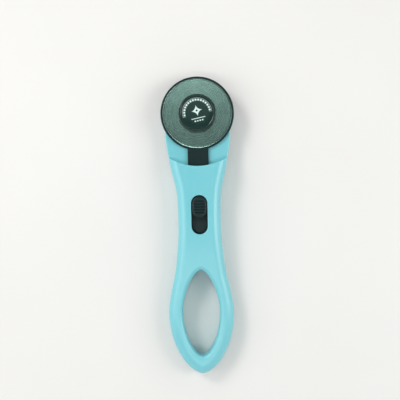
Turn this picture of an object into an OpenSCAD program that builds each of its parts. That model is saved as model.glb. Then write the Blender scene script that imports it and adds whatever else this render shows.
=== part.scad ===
// Rotary cutter for fabric, lying on its back with the blade up.
// Origin: on the blade's axis, at the closed rear face of the clamp nut. +Z up, +Y towards the head.
// Distances along the handle are measured from the blade's axis towards the loop end (s = -Y).

/* [Blade] */
// Diameter of the round blade
blade_d = 45; // [28:0.5:60]
// Thickness of the blade
blade_t = 0.3; // [0.2:0.05:0.6]
// Diameter of the hole in the blade
blade_hole_d = 8; // [6:0.5:10]
// Width of the ground bevel at the blade's edge
bevel_w = 0.9; // [0.5:0.1:2.5]

/* [Guard and slide] */
// How far the guard disc reaches past the blade's edge
guard_proud = 1.4; // [0.8:0.1:3]
// Thickness of the guard at its rim
guard_t = 1.8; // [1.2:0.1:3]
// Depth of the shallow dish inside the guard's rim
guard_dish = 0.4; // [0.1:0.05:0.6]
// How far the guard's arm reaches under each side of the window
rail_lap = 1.5; // [1:0.1:3]
// How far the guard slides back
travel = 10; // [6:0.5:12]
// Length of the thumb slide
knob_l = 14; // [10:0.5:18]
// Width of the thumb slide
knob_w = 9.6; // [7:0.1:12]
// Number of finger ridges on the thumb slide
ridge_count = 6; // [3:1:7]
// Distance from the cover's front edge to the thumb slide, with the guard forward
knob_gap = 19.6; // [16:0.1:26]
// How far the thumb slide stands above the grip
knob_rise = 1.2; // [0.6:0.1:3]
// Depth of the two click notches in the arm's edge
notch_depth = 0.7; // [0.4:0.1:1.2]
// Thickness of the click spring's strip
leaf_t = 0.4; // [0.2:0.05:0.6]

/* [Hub and clamp] */
// Diameter of the hub cap
hub_d = 24.2; // [18:0.2:30]
// Height of the hub cap
hub_h = 4.3; // [3.6:0.1:7]
// Width of the hub cap's rim round the printed badge
hub_rim = 1.9; // [1.2:0.1:4]
// Diameter of the pivot bolt
bolt_d = 5; // [4:0.5:6]
// Width across the flats of the bolt's head
bolt_head_af = 8; // [7:0.5:10]
// Diameter of the clamp nut
nut_d = 22; // [18:0.5:26]
// Height of the clamp nut
nut_h = 7; // [5:0.5:10]
// Number of grip notches round the clamp nut
nut_notches = 24; // [12:1:36]
// Outer diameter of the threaded insert
insert_d = 9; // [8:0.5:11]
// Outer diameter of the curved spring washer
washer_d = 14; // [11:0.5:18]
// Thickness of the washer's sheet
washer_t = 0.5; // [0.3:0.05:0.8]
// Height of the washer's bow
washer_bow = 0.4; // [0.2:0.05:0.8]

/* [Handle] */
// Width of the head
head_w = 42.4; // [36:0.2:50]
// How far the head plate reaches past the blade's axis
head_reach = 14; // [12:0.5:16]
// Thickness of the head plate
plate_t = 4; // [3:0.5:6]
// Width of the waist
waist_w = 27.5; // [24:0.1:34]
// Distance of the waist behind the blade's axis
waist_s = 73; // [66:0.5:80]
// Width of the loop end
loop_w = 42.4; // [36:0.2:50]
// Distance from the loop end's widest place to its tip
loop_back = 40.1; // [30:0.1:50]
// Distance of the loop end's tip, which sets the length
tip_s = 169.7; // [140:0.1:205]
// Width of the finger opening
finger_w = 24.4; // [18:0.1:28]
// Plastic between the grip's hollow and the finger opening
bridge_l = 8.7; // [8:0.1:16]
// Plastic behind the finger opening, at the tip
tip_band = 11.7; // [9:0.1:16]
// Height of the rails between the guard's arm and the grip's roof
rail_h = 1.8; // [1:0.1:6]
// How much lower the loop's front face is than the grip's
loop_drop = 3; // [0:0.1:4]
// Height of the shells' seam above the head plate's rear face
seam_lift = 1; // [0.6:0.1:2.5]
// Rounding of the handle's long edges
edge_r = 6; // [3:0.5:8]
// Rounding at the rim of the finger opening
finger_r = 2.6; // [1:0.1:4]
// Wall of the shells
wall = 2.5; // [1.8:0.1:3]

/* [Screws] */
// Shank diameter of the shell screws
screw_d = 2.6; // [2:0.1:3]
// Head diameter of the shell screws
screw_head_d = 5; // [4:0.1:5.6]
// Head height of the shell screws
screw_head_h = 1.8; // [1.2:0.1:2.2]
// How deep the shell screws reach into the front shell
screw_bite = 4; // [3:0.5:6]

/* [Clearances] */
// Flat gap between sliding faces
slide_gap = 0.2; // [0.1:0.05:0.4]
// Radial running clearance of round fits
fit = 0.05; // [0.02:0.01:0.1]
// Gap at the seam between the shells
seam_gap = 0.1; // [0.05:0.05:0.3]
// Free play past each end of the slide's travel
end_play = 0.6; // [0.3:0.1:1]
// Side gap of the thumb slide in its window
side_gap = 0.45; // [0.3:0.05:0.8]
// Gap between moving pieces that don't guide each other
free_gap = 0.3; // [0.2:0.05:0.5]

/* [Hidden] */
$fn = 72;
tiny = 0.01;
// Heights of the stack at the pivot, from the clamp nut up
plate_z0 = nut_h + washer_t + washer_bow + 2 * fit;
plate_z1 = plate_z0 + plate_t;
guard_z0 = plate_z1 + slide_gap;
guard_z1 = guard_z0 + guard_t;
blade_z0 = guard_z1 + slide_gap;
blade_z1 = blade_z0 + blade_t;
hub_z0 = blade_z1 + slide_gap;
hub_z1 = hub_z0 + hub_h;
// Hub cap: floor under the bolt's head, badge, and how far the badge lies below the rim
hub_floor = 1.2;
badge_t = 0.6;
badge_sink = 0.5;
badge_d = hub_d - 2 * hub_rim;
badge_z0 = hub_z1 - badge_sink - badge_t;
// Bolt, bush and insert
bolt_head_z0 = hub_z0 + hub_floor;
bolt_head_h = badge_z0 - bolt_head_z0 - fit;
bolt_end_z = 2;
flat_af = bolt_d - 0.8;
bush_r = blade_hole_d / 2 - fit;
bolt_hole_r = bolt_d / 2 + fit;
insert_z0 = 1.5;
insert_top_gap = 0.1;
flange_d = insert_d + 2;
flange_t = 1;
// Scallops round the clamp nut: their radius and how far outside the nut their centres lie
scallop_r = 1;
scallop_out = 0.3;
// Guard disc and the cover's front edge, which clears the disc when it is drawn back
guard_r = blade_d / 2 + guard_proud;
rim_w = 1.6;
cover_gap = 0.4;
cover_r = guard_r + travel + cover_gap;
// Thumb slide, its window and the guard's arm
knob_s = cover_r + knob_gap;
knob_mid_s = knob_s + knob_l / 2;
window_w = knob_w + 2 * side_gap;
window_l = knob_l + travel + 2 * end_play;
window_mid_s = knob_mid_s + travel / 2;
window_end_s = window_mid_s + window_l / 2;
arm_w = window_w + 2 * rail_lap;
arm_end_s = window_end_s + 2;
ridge_r = 0.8;
ridge_margin = 1.5;
ridge_inset = 0.6;
leg_w = 4;
leg_t = 1.5;
leg_x = knob_w / 2 - 2.2;
hook_t = 0.8;
hook_lip = 0.7;
// Rails beside the window, above the arm
rail_w = 1.5;
rail_x = window_w / 2 + 0.5;
// Heights of the handle's faces and of the grip's hollow
seam_z = plate_z0 + seam_lift;
grip_t = guard_z1 + slide_gap + rail_h + wall;
loop_t = grip_t - loop_drop;
tip_t = loop_t - 1;
floor_z = wall + 1;
roof_z = grip_t - wall;
// Rear ramp, from the head plate down to the grip, clear of the clamp nut
nut_room = 7;
ramp_l = 28;
ramp_s0 = nut_d / 2 + nut_room;
ramp_s1 = ramp_s0 + ramp_l;
// Ends of the grip's hollow: behind the cover's front edge and the ramp, and past the arm drawn back
cover_wall = 5.7;
arm_room = 2.5;
cavity_s0 = max(ramp_s1 - 6, cover_r + cover_wall);
cavity_s1 = arm_end_s + travel + arm_room;
// Outline of the handle and of the finger opening
half_l = (tip_s + head_reach) / 2;
mid_s = tip_s - half_l;
max_w = max(head_w, loop_w) / 2;
head_s = head_reach - 2;
loop_s = tip_s - loop_back;
head_power = 2.2;
tip_root = 0.6;
finger_front_power = 1.65;
finger_back_power = 1.78;
finger_front_s = cavity_s1 + bridge_l;
finger_back_s = tip_s - tip_band;
finger_mid_s = (finger_front_s + finger_back_s) / 2;
finger_half = (finger_back_s - finger_front_s) / 2;
// Long edges: first step in from the outline, share of the depth that is rounded, and last step to the face
edge_step = 0.2;
edge_share = 0.9;
face_step = 0.02;
// Ribs under the arm
rib_t = 1.6;
rib_w = arm_w - 1;
rib_ss = [knob_s - 6, knob_s - 1.5, window_end_s - 2.5, window_end_s + 8];
// Screws: two beside the arm, one before the finger opening and one at the tip
screw_seat_z = floor_z - 0.5;
screw_l = seam_z + screw_bite - screw_seat_z;
pilot_room = 0.5;
boss_r = 3.5;
boss_room = 0.75;
recess_r = screw_head_d / 2 + free_gap;
cross_w = 0.7;
side_screw_x = arm_w / 2 + boss_r + boss_room;
side_screw_s = cavity_s0 + 2.3;
screw_spots = [
    [-side_screw_x, side_screw_s],
    [side_screw_x, side_screw_s],
    [0, cavity_s1 + screw_d / 2 + 1.8],
    [0, tip_s - tip_band / 2]
];
// Click spring: a strip beside the arm, with a bump that drops into the arm's notches
click_s = knob_mid_s + 8;
leaf_half = 9;
leaf_x = arm_w / 2 + 1.4;
leaf_z = plate_z1 - 1.6;
leaf_h = guard_z1 - slide_gap - leaf_z;
bump_half = 2.4;
bump_gap = 0.1;
bump_reach = leaf_x - arm_w / 2 + notch_depth - leaf_t / 2 - bump_gap;
notch_half = bump_half + 0.4;
post_w = 2.6;

// Half width of the handle between the head and the loop end, as [distance, half width] with smooth joins
stations = [
    [head_s, head_w / 2],
    [(head_s + waist_s) * 0.41, waist_w / 2 + (head_w - waist_w) * 0.285],
    [(head_s + waist_s) * 0.6, waist_w / 2 + (head_w - waist_w) * 0.05],
    [waist_s, waist_w / 2],
    [waist_s + (loop_s - waist_s) * 0.5, waist_w / 2 + (loop_w - waist_w) * 0.165],
    [waist_s + (loop_s - waist_s) * 0.78, waist_w / 2 + (loop_w - waist_w) * 0.39],
    [loop_s, loop_w / 2]
];

// Slope at a station: level at both ends and at the waist, and the mean of its neighbours elsewhere
function slope(i) =
    (i == 0 || i == 3 || i == len(stations) - 1)
    ? 0
    : (stations[i + 1][1] - stations[i - 1][1]) / (stations[i + 1][0] - stations[i - 1][0]);
function hermite(a, b, ma, mb, span, t) =
    (2 * t ^ 3 - 3 * t ^ 2 + 1) * a + (t ^ 3 - 2 * t ^ 2 + t) * span * ma
    + (3 * t ^ 2 - 2 * t ^ 3) * b + (t ^ 3 - t ^ 2) * span * mb;
function side_at(s, i = 0) =
    s <= stations[i + 1][0] || i == len(stations) - 2
    ? let (a = stations[i], b = stations[i + 1], span = b[0] - a[0])
        hermite(a[1], b[1], slope(i), slope(i + 1), span, (s - a[0]) / span)
    : side_at(s, i + 1);
// Share of the width that is left at share t of a round end; a higher root makes the end more pointed
function round_end(t, power, root) = max(0, 1 - abs(t) ^ power) ^ root;
// Half width of the whole outline: round head, curved sides and a soft pointed loop end
function half_w(s) =
    s < head_s ? head_w / 2 * round_end((head_s - s) / (head_s + head_reach), head_power, 1 / head_power)
    : s > loop_s ? loop_w / 2 * round_end((s - loop_s) / loop_back, 2, tip_root)
    : side_at(s);
function smooth(a, b, t) = let (u = min(1, max(0, t))) a + (b - a) * (3 * u ^ 2 - 2 * u ^ 3);
// Height of the handle's rear face and of its front face
function rear_z(s) = smooth(plate_z0, 0, (s - ramp_s0) / (ramp_s1 - ramp_s0));
function front_z(s) =
    s < loop_s ? smooth(grip_t, loop_t, (s - waist_s) / (loop_s - waist_s))
    : smooth(loop_t, tip_t, (s - loop_s) / (tip_s - loop_s));
// One side of the outline, from the head to the tip, closer together at the two ends
half_outline = let (n = 44) [
    for (i = [0 : n])
        let (s = mid_s - half_l * cos(180 * i / n))
            [i == 0 || i == n ? 0 : half_w(s), s]
];

// One level of a shell: the outline drawn in by inset, and a share of the way from the seam to the face
function level(inset, share, front) = let (n = len(half_outline) - 1) [
    for (i = [0 : 2 * n - 1])
        let (
            j = i <= n ? i : 2 * n - i,
            p = half_outline[j],
            s = mid_s + (p[1] - mid_s) * (1 - inset / half_l),
            face = front ? front_z(s) : rear_z(s)
        )
            [(i <= n ? 1 : -1) * p[0] * (1 - inset / max_w), -s, seam_z + (face - seam_z) * share]
];
// One level of the finger opening, widened by grow
function finger_level(grow, share, lift, front) = let (n = 24) [
    for (i = [0 : 2 * n - 1])
        let (
            a = 180 * i / n,
            power = cos(a) > 0 ? finger_front_power : finger_back_power,
            s = finger_mid_s - (finger_half + grow) * sign(cos(a)) * abs(cos(a)) ^ (2 / power),
            x = (finger_w / 2 + grow) * sign(sin(a)) * abs(sin(a)) ^ (2 / power),
            face = front ? front_z(s) : rear_z(s)
        )
            [x, -s, seam_z + (face - seam_z) * share + lift]
];
// A closed skin through the levels. Each level is the same left and right, so its caps run from side to side.
module skin(levels, up) {
    n = len(levels[0]);
    last = (len(levels) - 1) * n;
    sides = [
        for (k = [0 : len(levels) - 2], i = [0 : n - 1])
            let (a = k * n + i, b = k * n + (i + 1) % n)
                each [[a, b, b + n], [a, b + n, a + n]]
    ];
    cap = [
        for (i = [0 : n / 2 - 1])
            let (left = (n - i) % n, next_left = n - i - 1)
                each [
                    if (i < n / 2 - 1) [i, i + 1, next_left],
                    if (i > 0) [i, next_left, left]
                ]
    ];
    faces = concat(
        sides,
        [for (f = cap) [f[2], f[1], f[0]]],
        [for (f = cap) [f[0] + last, f[1] + last, f[2] + last]]
    );
    polyhedron(
        [for (r = levels) each r],
        up ? faces : [for (f = faces) [f[2], f[1], f[0]]],
        convexity = 6
    );
}
// Outer form of one shell: straight up from the seam, then a quarter round, then a soft crown
module shell_form(front) {
    depth = front ? grip_t - seam_z : seam_z;
    skin(
        concat(
            [level(0, 0, front)],
            [
                for (a = [0 : 22.5 : 90])
                    level(
                        edge_r * (1 - cos(a)) + edge_step,
                        1 - edge_r * (1 - sin(a)) / depth * edge_share - face_step,
                        front
                    )
            ],
            [level(edge_r * 2, 1, front)]
        ),
        front
    );
}
// The finger opening through one shell, with a round lip at the face
module finger_cut(front) {
    side = front ? 1 : -1;
    skin(
        concat(
            [finger_level(0, 0, -side, front)],
            [
                for (a = [0 : 30 : 90])
                    finger_level(finger_r * (1 - cos(a)), 1, side * finger_r * (sin(a) - 1), front)
            ],
            [finger_level(finger_r, 1, side * 2, front)]
        ),
        front
    );
}
// Straight slot with round ends along the handle, from z0 to z1
module oblong(w, l, s, z0, z1) {
    for (e = [-1, 1])
        translate([0, -s + e * (l - w) / 2, z0])
            cylinder(d = w, h = z1 - z0);
    translate([-w / 2, -s - (l - w) / 2, z0])
        cube([w, l - w, z1 - z0]);
}
// Block centred on x, from s0 to s1 along the handle and from z0 to z1
module block(x, w, s0, s1, z0, z1) {
    translate([x - w / 2, -s1, z0])
        cube([w, s1 - s0, z1 - z0]);
}
// The hollow of the grip, one wall inside the outline
module grip_hollow(z0, z1) {
    steps = [cavity_s0 : (cavity_s1 - cavity_s0) / 8 : cavity_s1 + tiny];
    right = [for (s = steps) [side_at(s) - wall, -s]];
    left = [for (i = [len(right) - 1 : -1 : 0]) [-right[i][0], right[i][1]]];
    translate([0, 0, z0])
        linear_extrude(z1 - z0)
            polygon(concat(right, left));
}
// A round post or hole at each screw
module at_screws(spots = screw_spots) {
    for (p = spots)
        translate([p[0], -p[1], 0])
            children();
}
// Bolt section: round, with two flats
module flatted(r, af, z0, z1) {
    intersection() {
        translate([0, 0, z0])
            cylinder(r = r, h = z1 - z0);
        translate([-af / 2, -r - 1, z0])
            cube([af, 2 * r + 2, z1 - z0]);
    }
}
module rear_shell() {
    color("#7fcfdc")
        difference() {
            union() {
                difference() {
                    shell_form(false);
                    grip_hollow(floor_z, seam_z + 1);
                    finger_cut(false);
                }
                head_plate();
                for (s = rib_ss)
                    block(0, rib_w, s - rib_t / 2, s + rib_t / 2, floor_z - 1, plate_z1);
                for (s = [click_s - leaf_half, click_s + leaf_half])
                    block(-leaf_x, post_w, s - post_w / 2, s + post_w / 2, floor_z - 1, plate_z1);
                at_screws([screw_spots[0], screw_spots[1]])
                    translate([0, 0, floor_z - 1])
                        cylinder(r = boss_r, h = seam_z - floor_z + 1);
            }
            flatted(bolt_hole_r, flat_af + 2 * fit, plate_z0 - 1, plate_z1 + 1);
            block(
                -leaf_x, leaf_t + 2 * fit, click_s - leaf_half - 1 - fit, click_s + leaf_half + 1 + fit,
                leaf_z - fit, plate_z1 + 1
            );
            at_screws() {
                translate([0, 0, -1])
                    cylinder(r = recess_r, h = screw_seat_z + 1);
                cylinder(r = screw_d / 2 + slide_gap, h = seam_z + 1);
            }
        }
}
// The flat plate that carries the guard and the blade
module head_plate() {
    translate([0, 0, seam_z - 0.2])
        linear_extrude(plate_z1 - seam_z + 0.2)
            intersection() {
                polygon([for (p = level(0, 0, false)) [p[0], p[1]]]);
                circle(r = cover_r - seam_gap);
            }
}
module front_shell() {
    roof = roof_z + tiny;
    color("#88d1db") {
        difference() {
            translate([0, 0, seam_gap])
                shell_form(true);
            translate([0, 0, seam_z - 1])
                cylinder(r = cover_r, h = grip_t);
            translate([0, 0, grip_t - 1])
                cylinder(r1 = cover_r, r2 = cover_r + 1.5, h = 1.5);
            grip_hollow(seam_z - 1, roof_z);
            block(
                0, arm_w + 2 * free_gap, cover_r - 2, cavity_s0 + 1, plate_z1, guard_z1 + slide_gap
            );
            oblong(window_w, window_l, window_mid_s, roof_z - 1, grip_t + 2);
            finger_cut(true);
            at_screws([screw_spots[2], screw_spots[3]])
                pilot_hole();
        }
        difference() {
            union() {
                for (x = [-rail_x - rail_w / 2, rail_x + rail_w / 2])
                    block(x, rail_w, cavity_s0 - tiny, cavity_s1 + tiny, guard_z1 + slide_gap, roof);
                at_screws([screw_spots[0], screw_spots[1]])
                    translate([0, 0, seam_z + seam_gap])
                        cylinder(r = boss_r, h = roof - seam_z - seam_gap);
            }
            at_screws([screw_spots[0], screw_spots[1]])
                pilot_hole();
        }
    }
}
module pilot_hole() {
    translate([0, 0, seam_z - 1])
        cylinder(r = screw_d / 2 + fit, h = screw_bite + pilot_room + 1);
}
module handle_screws() {
    color("#8f9496")
        at_screws()
            difference() {
                union() {
                    translate([0, 0, screw_seat_z - screw_head_h])
                        cylinder(d = screw_head_d, h = screw_head_h);
                    translate([0, 0, screw_seat_z - tiny])
                        cylinder(d = screw_d, h = screw_l + tiny);
                }
                // Cross slot in the head
                for (a = [0, 90])
                    rotate([0, 0, a])
                        translate([-screw_head_d / 3, -cross_w / 2, screw_seat_z - screw_head_h - 1])
                            cube([screw_head_d * 2 / 3, cross_w, 2]);
            }
}
module blade_guard() {
    slot_w = 2 * (bush_r + 2 * fit);
    color("#23342f")
        difference() {
            union() {
                translate([0, 0, guard_z0])
                    cylinder(r = guard_r, h = guard_t);
                block(0, arm_w, guard_r - 2, arm_end_s, guard_z0, guard_z1);
            }
            translate([0, 0, guard_z1 - guard_dish])
                cylinder(r = guard_r - rim_w, h = guard_dish + 1);
            oblong(slot_w, slot_w + travel, -travel / 2, guard_z0 - 1, guard_z1 + 1);
            for (x = [-leg_x, leg_x])
                block(
                    x, leg_t + 2 * fit, knob_mid_s - leg_w / 2 - fit, knob_mid_s + leg_w / 2 + fit,
                    guard_z0 - 1, guard_z1 + 1
                );
            // Click notches, one for each end of the travel
            for (s = [click_s, click_s - travel])
                translate([-arm_w / 2, -s, guard_z0 - 1])
                    linear_extrude(guard_t + 2)
                        polygon([
                            [-1, notch_half], [notch_depth, 0.5], [notch_depth, -0.5], [-1, -notch_half]
                        ]);
        }
}
module thumb_slide() {
    pitch = (knob_l - 2 * ridge_margin) / ridge_count;
    top_z = grip_t + knob_rise;
    color("#23342f") {
        oblong(knob_w, knob_l, knob_mid_s, guard_z1, top_z - 1);
        intersection() {
            oblong(knob_w - 2 * ridge_inset, knob_l - 2 * ridge_inset, knob_mid_s, guard_z1 + 1, top_z);
            for (i = [0 : ridge_count - 1])
                translate([0, -knob_mid_s + (i - (ridge_count - 1) / 2) * pitch, top_z - 1])
                    rotate([0, 90, 0])
                        cylinder(r = ridge_r, h = knob_w, center = true);
        }
        for (side = [-1, 1]) {
            block(
                side * leg_x, leg_t, knob_mid_s - leg_w / 2, knob_mid_s + leg_w / 2,
                guard_z0 - fit - hook_t, guard_z1 + tiny
            );
            block(
                side * (leg_x + hook_lip / 2), leg_t + hook_lip,
                knob_mid_s - leg_w / 2, knob_mid_s + leg_w / 2,
                guard_z0 - fit - hook_t, guard_z0 - fit
            );
        }
    }
}
// Strip beside the arm, held in two posts, with a bump that rests in a click notch
module detent_spring() {
    centre = [
        [-leaf_half - 1, 0], [-bump_half, 0], [-0.5, bump_reach], [0.5, bump_reach], [bump_half, 0],
        [leaf_half + 1, 0]
    ];
    side_a = [for (p = centre) [p[1] + leaf_t / 2, p[0]]];
    side_b = [for (i = [len(centre) - 1 : -1 : 0]) [centre[i][1] - leaf_t / 2, centre[i][0]]];
    color("#b9bdc0")
        translate([-leaf_x, -click_s, leaf_z])
            linear_extrude(leaf_h)
                polygon(concat(side_a, side_b));
}
module blade() {
    r0 = blade_hole_d / 2;
    r1 = blade_d / 2;
    mid = (blade_z0 + blade_z1) / 2;
    color("#8fb0ab")
        rotate_extrude()
            polygon([
                [r0, blade_z0], [r1 - bevel_w, blade_z0], [r1, mid - 0.02], [r1, mid + 0.02],
                [r1 - bevel_w, blade_z1], [r0, blade_z1]
            ]);
}
module pivot_bolt() {
    color("#9a9fa1") {
        translate([0, 0, bolt_head_z0])
            cylinder(d = bolt_head_af / cos(30), h = bolt_head_h, $fn = 6);
        translate([0, 0, plate_z1])
            cylinder(d = bolt_d, h = bolt_head_z0 - plate_z1 + tiny);
        flatted(bolt_d / 2, flat_af, bolt_end_z, plate_z1 + tiny);
    }
}
module pivot_bush() {
    color("#a9adaf")
        translate([0, 0, plate_z1])
            difference() {
                cylinder(r = bush_r, h = hub_z0 - plate_z1);
                translate([0, 0, -1])
                    cylinder(r = bolt_hole_r, h = hub_z0 - plate_z1 + 2);
            }
}
module hub_cap() {
    r = hub_d / 2;
    color("#1e3733")
        difference() {
            rotate_extrude()
                polygon([
                    [0, hub_z0], [r - 0.5, hub_z0], [r, hub_z0 + 0.5],
                    [r, hub_z1 - 1], [r - 1, hub_z1], [0, hub_z1]
                ]);
            translate([0, 0, hub_z0 - 1])
                cylinder(r = bolt_hole_r, h = hub_h);
            translate([0, 0, bolt_head_z0])
                cylinder(d = (bolt_head_af + 2 * fit) / cos(30), h = hub_h, $fn = 6);
            translate([0, 0, badge_z0])
                cylinder(d = badge_d, h = hub_h);
        }
}
module hub_badge() {
    color("#24453f")
        translate([0, 0, badge_z0])
            cylinder(r = badge_d / 2 - fit, h = badge_t);
}
// Ring cut from a sheet that is bowed along the handle
module spring_washer() {
    r = washer_d / 2;
    bow_r = (r ^ 2 + washer_bow ^ 2) / (2 * washer_bow);
    color("#b9bdc0")
        intersection() {
            translate([0, 0, nut_h])
                difference() {
                    cylinder(r = r, h = plate_z0 - nut_h);
                    translate([0, 0, -1])
                        cylinder(r = bolt_d / 2 + free_gap, h = plate_z0 - nut_h + 2);
                }
            translate([0, 0, plate_z0 - fit - bow_r])
                rotate([0, 90, 0])
                    difference() {
                        cylinder(r = bow_r, h = washer_d + 2, center = true);
                        cylinder(r = bow_r - washer_t, h = washer_d + 4, center = true);
                    }
        }
}
module clamp_nut() {
    r = nut_d / 2;
    color("#23342f")
        difference() {
            rotate_extrude()
                polygon([
                    [0, 0], [r - 1, 0], [r, 1], [r, nut_h - 0.8], [r - 0.8, nut_h], [0, nut_h]
                ]);
            for (i = [0 : nut_notches - 1])
                rotate([0, 0, i * 360 / nut_notches])
                    translate([r + scallop_out, 0, -1])
                        cylinder(r = scallop_r, h = nut_h + 2);
            insert_form();
        }
}
// Outer form of the threaded insert
module insert_form() {
    translate([0, 0, insert_z0])
        cylinder(d = insert_d, h = nut_h - insert_top_gap - insert_z0);
    translate([0, 0, nut_h - insert_top_gap - flange_t])
        cylinder(d = flange_d, h = flange_t + insert_top_gap);
}
module nut_insert() {
    color("#c8a24a")
        difference() {
            intersection() {
                insert_form();
                cylinder(d = flange_d + 1, h = nut_h - insert_top_gap);
            }
            translate([0, 0, insert_z0 - 1])
                cylinder(r = bolt_hole_r, h = nut_h);
        }
}
rear_shell();
front_shell();
handle_screws();
blade_guard();
thumb_slide();
detent_spring();
blade();
pivot_bolt();
pivot_bush();
hub_cap();
hub_badge();
spring_washer();
clamp_nut();
nut_insert();
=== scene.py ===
"""Rotary cutter for fabric: detailed shells, guard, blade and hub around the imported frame."""

import logging
import math
from dataclasses import dataclass, field
from enum import Enum
from typing import Callable, Sequence

import bpy
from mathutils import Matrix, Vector, kdtree


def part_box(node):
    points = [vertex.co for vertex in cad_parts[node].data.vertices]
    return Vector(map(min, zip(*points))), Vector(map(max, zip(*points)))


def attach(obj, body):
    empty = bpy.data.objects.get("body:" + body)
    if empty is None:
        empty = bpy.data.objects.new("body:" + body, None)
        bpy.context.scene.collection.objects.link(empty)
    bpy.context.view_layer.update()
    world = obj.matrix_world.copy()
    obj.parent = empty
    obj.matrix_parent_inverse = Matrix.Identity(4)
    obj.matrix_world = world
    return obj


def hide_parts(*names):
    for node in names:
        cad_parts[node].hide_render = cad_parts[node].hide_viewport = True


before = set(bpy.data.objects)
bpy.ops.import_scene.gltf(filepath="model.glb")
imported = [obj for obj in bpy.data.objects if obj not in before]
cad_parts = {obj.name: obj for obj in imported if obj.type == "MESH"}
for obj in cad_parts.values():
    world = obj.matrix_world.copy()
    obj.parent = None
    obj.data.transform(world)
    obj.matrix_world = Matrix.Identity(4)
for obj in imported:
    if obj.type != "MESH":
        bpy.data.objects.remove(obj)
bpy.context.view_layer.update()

MM = 0.001
MERGE = 2e-6  # doubled points of a shell lie closer than this, in metres
CUT_SLIVER = 4e-6  # slivers that cuts leave are thinner than this, in metres
OVER = 1.0  # a cutting solid runs past the face that it cuts by this, in millimetres
SUNK = 0.5  # a joined solid starts inside its wall by this, in millimetres
FIT = 0.05  # clearance between pieces that fit closely, in millimetres
FREE_GAP = 0.3  # clearance between pieces that must not touch, in millimetres
BOLT_HOLE_R = 2.55  # radius of the holes that the bolt passes, in millimetres
LOG = logging.getLogger("rotary_cutter")
Point = tuple[float, float, float]
Colour = tuple[float, float, float, float]


class Body(str, Enum):
    """The bodies that the modelled pieces ride on."""

    HANDLE = "handle"
    GUARD = "guard"
    BLADE = "cutting_blade"
    NUT = "nut"


class Slot(str, Enum):
    """The record's material slots."""

    HANDLE = "handle_plastic"
    DARK = "dark_plastic"
    HUB = "hub_plastic"
    BADGE = "badge_print"
    BLADE = "blade_steel"
    SCREW = "screw_steel"
    SPRING = "spring_steel"
    BRASS = "insert_brass"


# ---------------------------------------------------------------- shader maths


class Signal:
    """A shader socket that can be used in a Python expression."""

    def __init__(self, graph: "Graph", socket: bpy.types.NodeSocket) -> None:
        """Keeps the socket and the graph that it belongs to."""
        self.graph = graph
        self.socket = socket

    def _math(self, operation: str, *others: "Signal | float") -> "Signal":
        """Adds a Math node on this signal and the others."""
        return self.graph.node("ShaderNodeMath", {"operation": operation}, [self, *others])

    def __add__(self, other: "Signal | float") -> "Signal":
        """self + other."""
        return self._math("ADD", other)

    __radd__ = __add__

    def __mul__(self, other: "Signal | float") -> "Signal":
        """self * other."""
        return self._math("MULTIPLY", other)

    __rmul__ = __mul__

    def __sub__(self, other: "Signal | float") -> "Signal":
        """self - other."""
        return self._math("SUBTRACT", other)

    def __rsub__(self, other: float) -> "Signal":
        """other - self."""
        return self._math("MULTIPLY", -1.0)._math("ADD", other)

    def __truediv__(self, other: "Signal | float") -> "Signal":
        """self / other."""
        return self._math("DIVIDE", other)

    def __abs__(self) -> "Signal":
        """|self|."""
        return self._math("ABSOLUTE")

    def power(self, exponent: float) -> "Signal":
        """self to a power."""
        return self._math("POWER", exponent)

    def fraction(self) -> "Signal":
        """The part after the decimal point."""
        return self._math("FRACT")

    def largest(self, other: "Signal | float") -> "Signal":
        """The larger of two signals."""
        return self._math("MAXIMUM", other)

    def smallest(self, other: "Signal | float") -> "Signal":
        """The smaller of two signals."""
        return self._math("MINIMUM", other)

    def within(self, low: float, high: float, soft: float) -> "Signal":
        """1 between low and high and 0 outside, with soft edges.

        Args:
            low: lower edge of the band.
            high: upper edge of the band.
            soft: width of each edge.

        Returns:
            The mask.
        """
        rise = ((self - low) / soft + 0.5).clamped()
        fall = ((high - self) / soft + 0.5).clamped()
        return rise * fall

    def clamped(self) -> "Signal":
        """The signal kept between 0 and 1."""
        return self.largest(0.0).smallest(1.0)


class Graph:
    """A node tree whose nodes are added by one method."""

    def __init__(self, tree: bpy.types.NodeTree) -> None:
        """Keeps the tree."""
        self.tree = tree

    def node(self, kind: str, settings: dict, inputs: Sequence | dict, output: int | str = 0) -> Signal:
        """Adds a node.

        Args:
            kind: the node's type name.
            settings: its properties, which are set first.
            inputs: a value or Signal for each input, in order or by name.
            output: which output is wanted.

        Returns:
            That output as a Signal.
        """
        made = self.tree.nodes.new(kind)
        for key, value in settings.items():
            setattr(made, key, value)
        pairs = inputs.items() if isinstance(inputs, dict) else enumerate(inputs)
        for key, value in pairs:
            self.feed(made.inputs[key], value)
        return Signal(self, made.outputs[output])

    def feed(self, socket: bpy.types.NodeSocket, value: Signal | float | Sequence[float]) -> None:
        """Links or sets one input socket.

        Args:
            socket: the socket.
            value: a Signal to link, or the socket's own value.
        """
        if isinstance(value, Signal):
            self.tree.links.new(value.socket, socket)
        else:
            socket.default_value = value


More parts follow.
